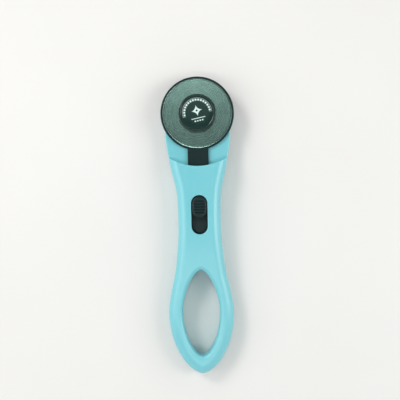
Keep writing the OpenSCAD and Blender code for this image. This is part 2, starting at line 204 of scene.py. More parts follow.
class Finish(Graph):
    """The node tree of one material, with a Principled shader."""

    def __init__(self, name: str) -> None:
        """Starts the material.

        Args:
            name: the material's name.
        """
        self.material = bpy.data.materials.new(name)
        self.material.use_nodes = True
        super().__init__(self.material.node_tree)
        self.tree.nodes.clear()
        self.shader = self.tree.nodes.new("ShaderNodeBsdfPrincipled")
        output = self.tree.nodes.new("ShaderNodeOutputMaterial")
        self.tree.links.new(self.shader.outputs[0], output.inputs[0])

    def place(self) -> Signal:
        """Object coordinates, in metres."""
        return self.node("ShaderNodeTexCoord", {}, [], "Object")

    def axes(self) -> tuple[Signal, Signal, Signal]:
        """The three object coordinates in millimetres."""
        scaled = self.node("ShaderNodeVectorMath", {"operation": "SCALE"}, {0: self.place(), "Scale": 1 / MM})
        split = self.node("ShaderNodeSeparateXYZ", {}, [scaled]).socket.node
        return tuple(Signal(self, split.outputs[i]) for i in range(3))

    def noise(self, scale: float, detail: float = 2.0, stretch: Point = (1.0, 1.0, 1.0)) -> Signal:
        """Noise over the piece.

        Args:
            scale: cells per millimetre.
            detail: octaves.
            stretch: factors on the three axes.

        Returns:
            The noise, about 0.5 in the mean.
        """
        factors = [f * scale / MM for f in stretch]
        spread = self.node("ShaderNodeMapping", {}, {"Vector": self.place(), "Scale": factors})
        return self.node("ShaderNodeTexNoise", {}, {"Vector": spread, "Scale": 1.0, "Detail": detail}, 0)

    def blend(self, factor: Signal, low: Colour, high: Colour) -> Signal:
        """Mixes two colours.

        Args:
            factor: 0 for the first colour, 1 for the second.
            low: the first colour.
            high: the second colour.

        Returns:
            The mixed colour, from the Mix node's colour sockets.
        """
        return self.node("ShaderNodeMix", {"data_type": "RGBA"}, {"Factor": factor, 6: low, 7: high}, 2)

    def surface(self, **sockets: Signal | float | Sequence[float]) -> None:
        """Sets the Principled shader's sockets, named with _ for each space."""
        for key, value in sockets.items():
            self.feed(self.shader.inputs[key.replace("_", " ")], value)

    def relief(self, height: Signal, depth_mm: float) -> None:
        """Gives the surface a relief of that depth."""
        bump = self.node("ShaderNodeBump", {}, {"Height": height, "Distance": depth_mm * MM, "Strength": 1.0})
        self.feed(self.shader.inputs["Normal"], bump)


def linear(value: int) -> float:
    """A display value of 0-255 as linear light."""
    share = value / 255
    return share / 12.92 if share <= 0.04045 else ((share + 0.055) / 1.055) ** 2.4


def rgb(red: int, green: int, blue: int) -> Colour:
    """A colour from 0-255 display values to linear light."""
    return (linear(red), linear(green), linear(blue), 1.0)


# ---------------------------------------------------------------- finishes


@dataclass(frozen=True)
class MouldedPlastic:
    """A moulded plastic with a fine spark-eroded grain."""

    name: str
    colour: Colour
    deep: Colour
    roughness: float = 0.42
    grain_depth_mm: float = 0.012
    glow: float = 0.0
    gloss: float = 0.5

    def material(self) -> bpy.types.Material:
        """Builds the material."""
        graph = Finish(self.name)
        flow = graph.noise(0.035, 3.0, (1.0, 0.45, 1.0))
        speck = graph.noise(5.0, 2.0)
        scuff = graph.noise(0.5, 4.0, (1.0, 0.2, 1.0)).within(0.63, 1.5, 0.12)
        graph.surface(
            Base_Color=graph.blend((flow - 0.5) * 0.9 + 0.5 + scuff * 0.12, self.deep, self.colour),
            Roughness=(flow - 0.5) * 0.1 + self.roughness + (speck - 0.5) * 0.08 + scuff * 0.05,
            Specular_IOR_Level=self.gloss,
            Subsurface_Weight=self.glow,
            Subsurface_Radius=(0.6, 1.0, 1.0),
            Subsurface_Scale=0.8 * MM,
        )
        graph.relief(speck * 0.7 + graph.noise(1.4, 2.0) * 0.3, self.grain_depth_mm)
        return graph.material


@dataclass(frozen=True)
class GroundSteel:
    """Blade steel, ground in fine rings, with a brighter ground bevel."""

    name: str
    colour: Colour
    dark: Colour
    edge_r_mm: float
    bevel_mm: float

    def material(self) -> bpy.types.Material:
        """Builds the material."""
        graph = Finish(self.name)
        x, y, _ = graph.axes()
        radius = (x * x + y * y).power(0.5)
        turn = graph.node("ShaderNodeMath", {"operation": "ARCTAN2"}, [y, x])
        rings = graph.node("ShaderNodeCombineXYZ", {}, [radius * 5.0, turn * 0.9, 0.0])
        lines = graph.node("ShaderNodeTexNoise", {}, {"Vector": rings, "Scale": 1.0, "Detail": 5.0}, 0)
        fans = graph.node("ShaderNodeCombineXYZ", {}, [turn * 3.2, radius * 0.02, 0.0])
        sweep = graph.node("ShaderNodeTexNoise", {}, {"Vector": fans, "Scale": 1.0, "Detail": 1.0}, 0)
        bevel = radius.within(self.edge_r_mm - self.bevel_mm, self.edge_r_mm + 1.0, 0.15)
        shade = ((lines - 0.5) * 0.7 + (sweep - 0.5) * 0.5 + 0.5 + bevel * 0.5).clamped()
        graph.surface(
            Base_Color=graph.blend(shade, self.dark, self.colour),
            Metallic=1.0,
            Roughness=(lines - 0.5) * 0.14 + 0.27 - bevel * 0.05,
        )
        graph.relief(lines, 0.006)
        return graph.material


@dataclass(frozen=True)
class TurnedMetal:
    """A small metal part, plated or turned, with slight smears."""

    name: str
    colour: Colour
    roughness: float = 0.3

    def material(self) -> bpy.types.Material:
        """Builds the material."""
        graph = Finish(self.name)
        smear = graph.noise(0.7, 3.0)
        fine = graph.noise(6.0, 2.0, (1.0, 1.0, 0.2))
        low = tuple(c * 0.72 for c in self.colour[:3]) + (1.0,)
        graph.surface(
            Base_Color=graph.blend(smear, low, self.colour),
            Metallic=1.0,
            Roughness=(fine - 0.5) * 0.2 + self.roughness,
        )
        graph.relief(fine, 0.004)
        return graph.material


@dataclass(frozen=True)
class StitchPrint:
    """A glossy disc with a generic print: an arc of stitches round a small patchwork star."""

    name: str
    colour: Colour
    ink: Colour
    tilt_deg: float = 12.0
    stitches_round: int = 30

    def material(self) -> bpy.types.Material:
        """Builds the material."""
        graph = Finish(self.name)
        x, y, _ = graph.axes()
        tilt = math.radians(self.tilt_deg)
        across = x * math.cos(tilt) + y * math.sin(tilt)
        along = y * math.cos(tilt) - x * math.sin(tilt)
        radius = (x * x + y * y).power(0.5)
        turn = graph.node("ShaderNodeMath", {"operation": "ARCTAN2"}, [across, along])
        stitches = (turn * (self.stitches_round / math.tau)).fraction().within(0.16, 0.84, 0.1)
        arc = abs(turn).within(-1.0, 1.72, 0.03)
        ring = radius.within(7.7, 8.9, 0.12) * stitches * arc
        hem = radius.within(9.35, 9.6, 0.1) * arc * 0.6
        star_x = abs(across)
        star_y = abs(along - 1.3)
        star = (star_x.power(0.62) + star_y.power(0.62)).within(-1.0, 2.25, 0.1)
        petals = star * (1.0 - (star_x + star_y).within(-1.0, 0.75, 0.1))
        bar = abs(along + 3.6).within(-1.0, 0.24, 0.08) * star_x.within(-1.0, 4.6, 0.1)
        dashes = (across * 0.62).fraction().within(0.2, 0.8, 0.1)
        row = abs(along + 5.3).within(-1.0, 0.42, 0.08) * star_x.within(-1.0, 3.0, 0.1) * dashes
        print_mask = ring.largest(hem).largest(petals).largest(bar).largest(row)
        worn = graph.noise(1.6, 3.0).within(0.3, 2.0, 0.25)
        fine = graph.noise(5.0, 2.0)
        mask = print_mask * (worn * 0.2 + 0.8)
        graph.surface(
            Base_Color=graph.blend(mask, self.colour, self.ink),
            Roughness=(fine - 0.5) * 0.06 + 0.24 + mask * 0.2,
        )
        graph.relief(mask, 0.03)
        return graph.material


def finishes() -> dict[Slot, bpy.types.Material]:
    """Builds one material for each slot."""
    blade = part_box("blade")
    return {
        Slot.HANDLE: MouldedPlastic(
            "turquoise_plastic", rgb(124, 200, 208), rgb(109, 192, 202), roughness=0.3, glow=0.12, gloss=0.75
        ).material(),
        Slot.DARK: MouldedPlastic(
            "dark_teal_plastic", rgb(18, 40, 40), rgb(14, 34, 35), roughness=0.36, gloss=0.28
        ).material(),
        Slot.HUB: MouldedPlastic(
            "hub_plastic", rgb(16, 45, 40), rgb(12, 39, 35), roughness=0.18, grain_depth_mm=0.002, gloss=0.4
        ).material(),
        Slot.BADGE: StitchPrint("stitch_print", rgb(14, 46, 41), rgb(202, 226, 217)).material(),
        Slot.BLADE: GroundSteel(
            "ground_blade_steel", rgb(146, 186, 174), rgb(100, 130, 123), blade[1][0] / MM, 0.9
        ).material(),
        Slot.SCREW: TurnedMetal("zinc_plate", rgb(190, 192, 194)).material(),
        Slot.SPRING: TurnedMetal("spring_steel", rgb(200, 202, 204), 0.22).material(),
        Slot.BRASS: TurnedMetal("turned_brass", rgb(214, 178, 96), 0.28).material(),
    }


# ---------------------------------------------------------------- modelling by hand


def only(thing: bpy.types.Object) -> None:
    """Makes one object the only selected and the active one.

    Args:
        thing: the object.
    """
    bpy.ops.object.select_all(action="DESELECT")
    thing.select_set(True)
    bpy.context.view_layer.objects.active = thing


def tidy_mesh(thing: bpy.types.Object, reach: float = 1e-6, outwards: bool = True) -> None:
    """Merges doubled points and dissolves faces without area.

    Args:
        thing: the solid.
        reach: how close doubled points lie, in metres.
        outwards: also turns all faces outwards, which a hollow shell after its cuts doesn't need.
    """
    only(thing)
    bpy.ops.object.mode_set(mode="EDIT")
    bpy.ops.mesh.select_all(action="SELECT")
    bpy.ops.mesh.remove_doubles(threshold=reach)
    bpy.ops.mesh.dissolve_degenerate(threshold=reach)
    if outwards:
        bpy.ops.mesh.normals_make_consistent(inside=False)
    bpy.ops.object.mode_set(mode="OBJECT")


def apply(thing: bpy.types.Object, kind: str, **settings: object) -> None:
    """Adds a modifier and applies it.

    Args:
        thing: the object that is changed.
        kind: the modifier's type.
        **settings: the modifier's properties.
    """
    only(thing)
    modifier = thing.modifiers.new(kind.lower(), kind)
    for key, value in settings.items():
        setattr(modifier, key, value)
    bpy.ops.object.modifier_apply(modifier=modifier.name)


def settle(thing: bpy.types.Object, name: str) -> bpy.types.Object:
    """Puts an object's place into its mesh and names it.

    Args:
        thing: the object.
        name: its name.

    Returns:
        The same object.
    """
    only(thing)
    bpy.ops.object.transform_apply(location=True, rotation=True, scale=True)
    thing.name = name
    thing.data.name = name
    return thing


def smooth(thing: bpy.types.Object, degrees: float = 32.0, slivers: float = 0.0) -> None:
    """Shades an object smooth.

    Args:
        thing: the object.
        degrees: the angle over which an edge stays sharp.
        slivers: the width of slivers that are cleared first, in metres, or 0 for none.
    """
    if slivers:
        tidy_mesh(thing, slivers, outwards=False)
    only(thing)
    bpy.ops.object.shade_smooth_by_angle(angle=math.radians(degrees))


def block(low: Point, high: Point, round_mm: float = 0.0) -> bpy.types.Object:
    """A cube primitive stretched between two corners.

    Args:
        low: the corner with the lower x, y and z, in millimetres.
        high: the other corner.
        round_mm: the width of the rounded edges, or 0 for sharp ones.

    Returns:
        The block.
    """
    bpy.ops.object.select_all(action="DESELECT")
    centre = [(a + b) / 2 * MM for a, b in zip(low, high)]
    bpy.ops.mesh.primitive_cube_add(size=1.0, location=centre)
    made = bpy.context.active_object
    made.scale = [(b - a) * MM for a, b in zip(low, high)]
    bpy.ops.object.transform_apply(location=True, rotation=True, scale=True)
    if round_mm:
        apply(made, "BEVEL", width=round_mm * MM, segments=3)
    return made


def rod(x: float, y: float, radius: float, z0: float, z1: float, sides: int = 64) -> bpy.types.Object:
    """A cylinder primitive along Z, in millimetres.

    Args:
        x: place of its axis.
        y: place of its axis.
        radius: its radius.
        z0: height of its lower end.
        z1: height of its upper end.
        sides: number of its sides.

    Returns:
        The rod.
    """
    bpy.ops.object.select_all(action="DESELECT")
    middle, height = (x * MM, y * MM, (z0 + z1) / 2 * MM), (z1 - z0) * MM
    bpy.ops.mesh.primitive_cylinder_add(vertices=sides, radius=radius * MM, depth=height, location=middle)
    made = bpy.context.active_object
    bpy.ops.object.transform_apply(location=True, rotation=True, scale=True)
    return made


def across(side: int, near: float, far: float) -> tuple[float, float]:
    """The lower and upper x of what lies between two distances on one side, -1 or 1."""
    return (near, far) if side > 0 else (-far, -near)


def combine(thing: bpy.types.Object, tool: bpy.types.Object, how: str) -> None:
    """Joins the tool to a solid or cuts it away, and deletes the tool.

    Args:
        thing: the solid that is kept.
        tool: the other solid.
        how: UNION or DIFFERENCE.
    """
    apply(thing, "BOOLEAN", operation=how, object=tool, solver="EXACT")
    bpy.data.objects.remove(tool, do_unlink=True)


def turned(profile: Sequence[tuple[float, float]], steps: int, closed: bool) -> bpy.types.Object:
    """Spins a profile about the Z axis.

    Args:
        profile: (radius, height) points in millimetres.
        steps: segments round the axis.
        closed: whether the last point joins the first, as in a ring.

    Returns:
        The turned solid.
    """
    bpy.ops.object.select_all(action="DESELECT")
    bpy.ops.mesh.primitive_plane_add(size=1.0)
    made = bpy.context.active_object
    bpy.ops.object.mode_set(mode="EDIT")
    bpy.ops.mesh.select_all(action="SELECT")
    bpy.ops.mesh.merge(type="CENTER")
    radius, height = profile[0]
    bpy.ops.transform.translate(value=(radius * MM, 0, height * MM))
    points = list(profile[1:]) + ([profile[0]] if closed else [])
    for next_radius, next_height in points:
        step = ((next_radius - radius) * MM, 0, (next_height - height) * MM)
        bpy.ops.mesh.extrude_region_move(TRANSFORM_OT_translate={"value": step})
        radius, height = next_radius, next_height
    bpy.ops.mesh.select_all(action="SELECT")
    bpy.ops.mesh.spin(steps=steps, angle=math.tau, center=(0, 0, 0), axis=(0, 0, 1))
    bpy.ops.object.mode_set(mode="OBJECT")
    tidy_mesh(made)
    return made


def corner(
    radius: float, height: float, size: float, start_deg: float, steps: int = 5
) -> list[tuple[float, float]]:
    """A quarter-round corner of a profile.

    Args:
        radius: centre of the round, from the axis.
        height: centre of the round, along the axis.
        size: radius of the round.
        start_deg: angle at which it starts; it runs 90 degrees anticlockwise.
        steps: number of segments.

    Returns:
        The points of the round.
    """
    return [
        (
            radius + size * math.cos(math.radians(start_deg + 90 * k / steps)),
            height + size * math.sin(math.radians(start_deg + 90 * k / steps)),
        )
        for k in range(steps + 1)
    ]


# ---------------------------------------------------------------- the handle's outline


def ease(start: float, end: float, share: float) -> float:
    """The value on a smooth way from start to end, where share goes from 0 to 1."""
    t = min(1.0, max(0.0, share))
    return start + (end - start) * (3 * t * t - 2 * t ** 3)


def eased_steps(start: float, end: float, count: int) -> list[float]:
    """Values from start to end, closer together at both ends."""
    return [start + (end - start) * (1 - math.cos(math.pi * k / count)) / 2 for k in range(count + 1)]


class Rim:
    """A curve in plan that tells how far a point is from it."""

    def __init__(self, points: Sequence[tuple[float, float]]) -> None:
        """Keeps the curve's points and an index for quick search.

        Args:
            points: x and s of the points in order, in millimetres.
        """
        self.points = [Vector((x, s)) for x, s in points]
        self.tree = kdtree.KDTree(len(self.points))
        for i, point in enumerate(self.points):
            self.tree.insert((point.x, point.y, 0.0), i)
        self.tree.balance()

    def gap(self, x: float, s: float) -> float:
        """Measures how far a point is from the curve.

        Args:
            x: the point's distance from the centre line.
            s: its distance behind the blade's axis.

        Returns:
            The shortest distance, in millimetres.
        """
        here = Vector((x, s))
        _, i, best = self.tree.find((x, s, 0.0))
        for j in (i - 1, i):
            if 0 <= j < len(self.points) - 1:
                start, end = self.points[j], self.points[j + 1]
                span = end - start
                share = min(1.0, max(0.0, (here - start).dot(span) / max(span.length_squared, 1e-12)))
                best = min(best, (here - start - span * share).length)
        return best


def fillet(gap: float, width: float, down: float) -> float:
    """Measures how far a rounded edge has fallen away from the face.

    Args:
        gap: distance from the edge.
        width: width of the rounding.
        down: its depth at the edge.

    Returns:
        The fall, from down at the edge to 0 past the rounding.
    """
    if gap >= width:
        return 0.0
    share = (width - gap) / width
    return down * (1 - math.sqrt(max(0.0, 1 - share * share)))


@dataclass
class HandlePlan:
    """Plan of the handle, with s measured from the blade's axis to the loop end, in millimetres."""

    waist_w: float = 27.5
    waist_s: float = 73.0
    head_s: float = 12.0
    loop_back: float = 40.1
    head_power: float = 2.2
    tip_root: float = 0.6
    finger_w: float = 24.4
    finger_front: float = 101.7
    finger_front_power: float = 1.65
    finger_back_power: float = 1.78
    tip_band: float = 11.7
    window_w: float = 10.5
    window_front: float = 53.3
    window_back: float = 78.5
    arm_w: float = 13.5
    cover_r: float = 34.3
    grip_t: float = 18.5
    loop_t: float = 15.5
    tip_drop: float = 1.0
    seam_z: float = 9.0
    seam_gap: float = 0.1
    plate_z0: float = 8.0
    plate_z1: float = 12.0
    ramp_start: float = 18.0
    ramp_end: float = 46.0
    head_w: float = field(init=False)
    loop_w: float = field(init=False)
    head_reach: float = field(init=False)
    tip_s: float = field(init=False)
    loop_s: float = field(init=False)
    finger_back: float = field(init=False)
    stations: list[tuple[float, float]] = field(init=False)

    def __post_init__(self) -> None:
        """Takes the overall sizes from the frame and prepares the rims."""
        low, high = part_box("rear_shell")
        self.head_reach = high[1] / MM
        self.tip_s = -low[1] / MM
        self.head_w = self.loop_w = (high[0] - low[0]) / MM
        self.finger_back = self.tip_s - self.tip_band
        self.loop_s = self.tip_s - self.loop_back
        waist, head, loop = self.waist_w / 2, self.head_w / 2, self.loop_w / 2
        span = self.head_s + self.waist_s
        back = self.loop_s - self.waist_s
        self.stations = [
            (self.head_s, head),
            (span * 0.41, waist + (head - waist) * 0.57),
            (span * 0.6, waist + (head - waist) * 0.1),
            (self.waist_s, waist),
            (self.waist_s + back * 0.5, waist + (loop - waist) * 0.33),
            (self.waist_s + back * 0.78, waist + (loop - waist) * 0.78),
            (self.loop_s, loop),
        ]
        self.outer_rim = self.rim(self.half_w, -self.head_reach, self.tip_s, 3000)
        self.finger_rim = self.rim(self.finger_half, self.finger_front, self.finger_back, 900)
        self.window_rim = self.rim(self.window_half, self.window_front, self.window_back, 600)

    def rim(self, half: Callable[[float], float], start: float, end: float, count: int) -> Rim:
        """The rim whose half width is half(s), from start to end in count steps."""
        return Rim([(half(s), s) for s in eased_steps(start, end, count)])

    def slope(self, i: int) -> float:
        """Slope of the side at a station: 0 at both ends and at the waist.

        Args:
            i: which station.

        Returns:
            The change of half width with s.
        """
        if i in (0, len(self.stations) - 1) or self.stations[i][0] == self.waist_s:
            return 0.0
        (s0, w0), (s1, w1) = self.stations[i - 1], self.stations[i + 1]
        return (w1 - w0) / (s1 - s0)

    def half_w(self, s: float) -> float:
        """Half width of the handle.

        Args:
            s: distance behind the blade's axis.

        Returns:
            The half width, rounded off at the head and the tip and curved through the stations between.
        """
        if s < self.head_s:
            share = min(1.0, abs((self.head_s - s) / (self.head_s + self.head_reach)))
            return self.head_w / 2 * (1 - share ** self.head_power) ** (1 / self.head_power)
        if s > self.loop_s:
            share = min(1.0, abs((s - self.loop_s) / (self.tip_s - self.loop_s)))
            return self.loop_w / 2 * (1 - share ** 2) ** self.tip_root
        i = max(k for k in range(len(self.stations) - 1) if self.stations[k][0] <= s or k == 0)
        (s0, w0), (s1, w1) = self.stations[i], self.stations[i + 1]
        t, span = (s - s0) / (s1 - s0), s1 - s0
        return (
            (2 * t ** 3 - 3 * t ** 2 + 1) * w0
            + (t ** 3 - 2 * t ** 2 + t) * span * self.slope(i)
            + (3 * t ** 2 - 2 * t ** 3) * w1
            + (t ** 3 - t ** 2) * span * self.slope(i + 1)
        )

    def finger_half(self, s: float) -> float:
        """Half width of the finger opening.

        Args:
            s: distance behind the blade's axis, between the opening's ends.

        Returns:
            The half width, on an oval with a fuller back.
        """
        middle = (self.finger_front + self.finger_back) / 2
        reach = (self.finger_back - self.finger_front) / 2
        share = min(1.0, abs(s - middle) / reach)
        power = self.finger_front_power if s < middle else self.finger_back_power
        return self.finger_w / 2 * (1 - share ** power) ** (1 / power)

    def window_half(self, s: float) -> float:
        """Half width of the thumb slide's window, which has round ends.

        Args:
            s: distance behind the blade's axis.

        Returns:
            The half width.
        """
        r = self.window_w / 2
        inside = max(0.0, self.window_front + r - s, s - self.window_back + r)
        return math.sqrt(max(0.0, r * r - min(inside, r) ** 2))

    def rear_z(self, s: float) -> float:
        """Height of the rear face."""
        return ease(self.plate_z0, 0.0, (s - self.ramp_start) / (self.ramp_end - self.ramp_start))

    def front_z(self, s: float) -> float:
        """Height of the front face, which falls from the waist to the loop and on to the tip.

        Args:
            s: distance behind the blade's axis.

        Returns:
            The height before the edges are rounded.
        """
        if s < self.loop_s:
            return ease(self.grip_t, self.loop_t, (s - self.waist_s) / (self.loop_s - self.waist_s))
        return ease(self.loop_t, self.loop_t - self.tip_drop, (s - self.loop_s) / (self.tip_s - self.loop_s))


@dataclass
class MouldedShell:
    """A solid grown from a flat grid: the face is shaped, then drawn down to the seam and mirrored.

    Attributes:
        rows: s of each row of the grid.
        columns: number of cells from the middle to the edge.
        inner: half width of what opens the solid at s.
        outer: half width of the solid at s.
        face: height of its face at x and s.
        seam: height of its flat side at a row.
        lip: radius of the seam's rounded edge at a row.
        upward: whether the face looks up.
        shift: how far a point is moved along s.
        round_head: whether the first row is drawn in with the lip, as the last one is.
        fade: over how many millimetres from an end a row is drawn in.
    """

    rows: list[float]
    columns: int
    inner: Callable[[float], float]
    outer: Callable[[float], float]
    face: Callable[[float, float], float]
    seam: Callable[[int], float]
    lip: Callable[[int], float]
    upward: bool
    shift: Callable[[float, float], float] = lambda x, s: 0.0
    round_head: bool = False
    fade: float = 12.0

    def spot(self, row: int, share: float, inset: float) -> tuple[float, float]:
        """Plan position of a grid point.

        Args:
            row: which row of the grid.
            share: 0 at the middle or the opening, 1 at the outer edge.
            inset: how far it is drawn in from every edge, in millimetres.

        Returns:
            x and s in millimetres.
        """
        s = self.rows[row]
        start = self.inner(s)
        start += min(inset, start * 0.4)
        x = start
        for _ in range(4):  # the edge is where the shifted row meets the outline
            moved = s + self.shift(x, s)
            x = start + share * max(0.0, self.outer(moved) - inset - start)
        moved = s + self.shift(x, s)
        to_tip = (self.rows[-1] - s) / self.fade
        to_head = (s - self.rows[0]) / self.fade
        if to_tip < 1.0:
            moved -= inset * (1.0 - to_tip)
        if self.round_head and to_head < 1.0:
            moved += inset * (1.0 - to_head)
        return x, moved

    def build(self, name: str) -> bpy.types.Object:
        """Models the solid.

        Args:
            name: the piece's name.

        Returns:
            The closed solid, both halves joined.
        """
        bpy.ops.object.select_all(action="DESELECT")
        last = len(self.rows) - 1
        bpy.ops.mesh.primitive_grid_add(x_subdivisions=self.columns, y_subdivisions=last, size=1.0)
        made = bpy.context.active_object
        cells = made.data.attributes.new("cell", "INT", "POINT")
        for vertex in made.data.vertices:
            column = round((vertex.co.x + 0.5) * self.columns)
            row = round((0.5 - vertex.co.y) * last)
            cells.data[vertex.index].value = row * (self.columns + 1) + column
            x, s = self.spot(row, self.share(column), 0.0)
            vertex.co = (x * MM, -s * MM, self.face(x, s) * MM)
        for step, turn_deg in enumerate((0, 45, 90)):
            self.draw_layer(made, math.radians(turn_deg), step == 0)
        made.data.attributes.remove(made.data.attributes["cell"])
        self.open_middle(made)
        apply(made, "MIRROR", use_axis=(True, False, False), use_clip=True, merge_threshold=MERGE)
        tidy_mesh(made, MERGE)
        return settle(made, name)

    def share(self, column: int) -> float:
        """How far across a column lies, closer together at both edges."""
        return (1 - math.cos(math.pi * column / self.columns)) / 2

    def draw_layer(self, made: bpy.types.Object, turn: float, first: bool) -> None:
        """Extrudes the region once more and lays the new points on the seam's rounded lip.

        Args:
            made: the growing solid.
            turn: angle on the lip, in radians: 0 at the wall and a quarter turn at the flat side.
            first: whether this is the first layer below the face.
        """
        only(made)
        bpy.ops.object.mode_set(mode="EDIT")
        if first:
            bpy.ops.mesh.select_all(action="SELECT")
        sign = 1.0 if self.upward else -1.0
        bpy.ops.mesh.extrude_region_move(TRANSFORM_OT_translate={"value": (0, 0, -sign * MM)})
        bpy.ops.object.mode_set(mode="OBJECT")
        cells = made.data.attributes["cell"].data
        for vertex in made.data.vertices:
            if vertex.select:
                row, column = divmod(cells[vertex.index].value, self.columns + 1)
                lip = self.lip(row)
                x, s = self.spot(row, self.share(column), lip * (1 - math.cos(turn)))
                z = self.seam(row) + sign * lip * (1 - math.sin(turn))
                vertex.co = (x * MM, -s * MM, z * MM)

    def open_middle(self, made: bpy.types.Object) -> None:
        """Deletes the walls on the centre line, which the mirrored half closes.

        Args:
            made: the right half of the solid.
        """
        only(made)
        bpy.ops.object.mode_set(mode="EDIT")
        bpy.ops.mesh.select_mode(type="FACE")
        bpy.ops.mesh.select_all(action="DESELECT")
        bpy.ops.object.mode_set(mode="OBJECT")
        for polygon in made.data.polygons:
            polygon.select = all(abs(made.data.vertices[i].co.x) < 1e-8 for i in polygon.vertices)
        bpy.ops.object.mode_set(mode="EDIT")
        bpy.ops.mesh.delete(type="FACE")
        bpy.ops.mesh.select_mode(type="VERT")
        bpy.ops.object.mode_set(mode="OBJECT")


def gather(tools: Sequence[bpy.types.Object]) -> bpy.types.Object:
    """Joins several simple solids into one object.

    Args:
        tools: the solids.

    Returns:
        The first one, which holds them all.
    """
    bpy.ops.object.select_all(action="DESELECT")
    for tool in tools:
        tool.select_set(True)
    bpy.context.view_layer.objects.active = tools[0]
    bpy.ops.object.join()
    return tools[0]


@dataclass
class Piece:
    """What a finished piece is called, carries and stands for."""

    thing: bpy.types.Object
    slot: Slot
    body: Body
    node: str

    def dress(self, materials: dict[Slot, bpy.types.Material]) -> None:
        """Gives the piece its material and its body, and hides the CAD node that it replaces.

        Args:
            materials: the material for each slot.
        """
        self.thing.data.materials.clear()
        self.thing.data.materials.append(materials[self.slot])
        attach(self.thing, self.body.value)
        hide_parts(self.node)
        LOG.info("%s: %d faces, rides on %s", self.thing.name, len(self.thing.data.polygons), self.body.value)


# ---------------------------------------------------------------- sub-assemblies


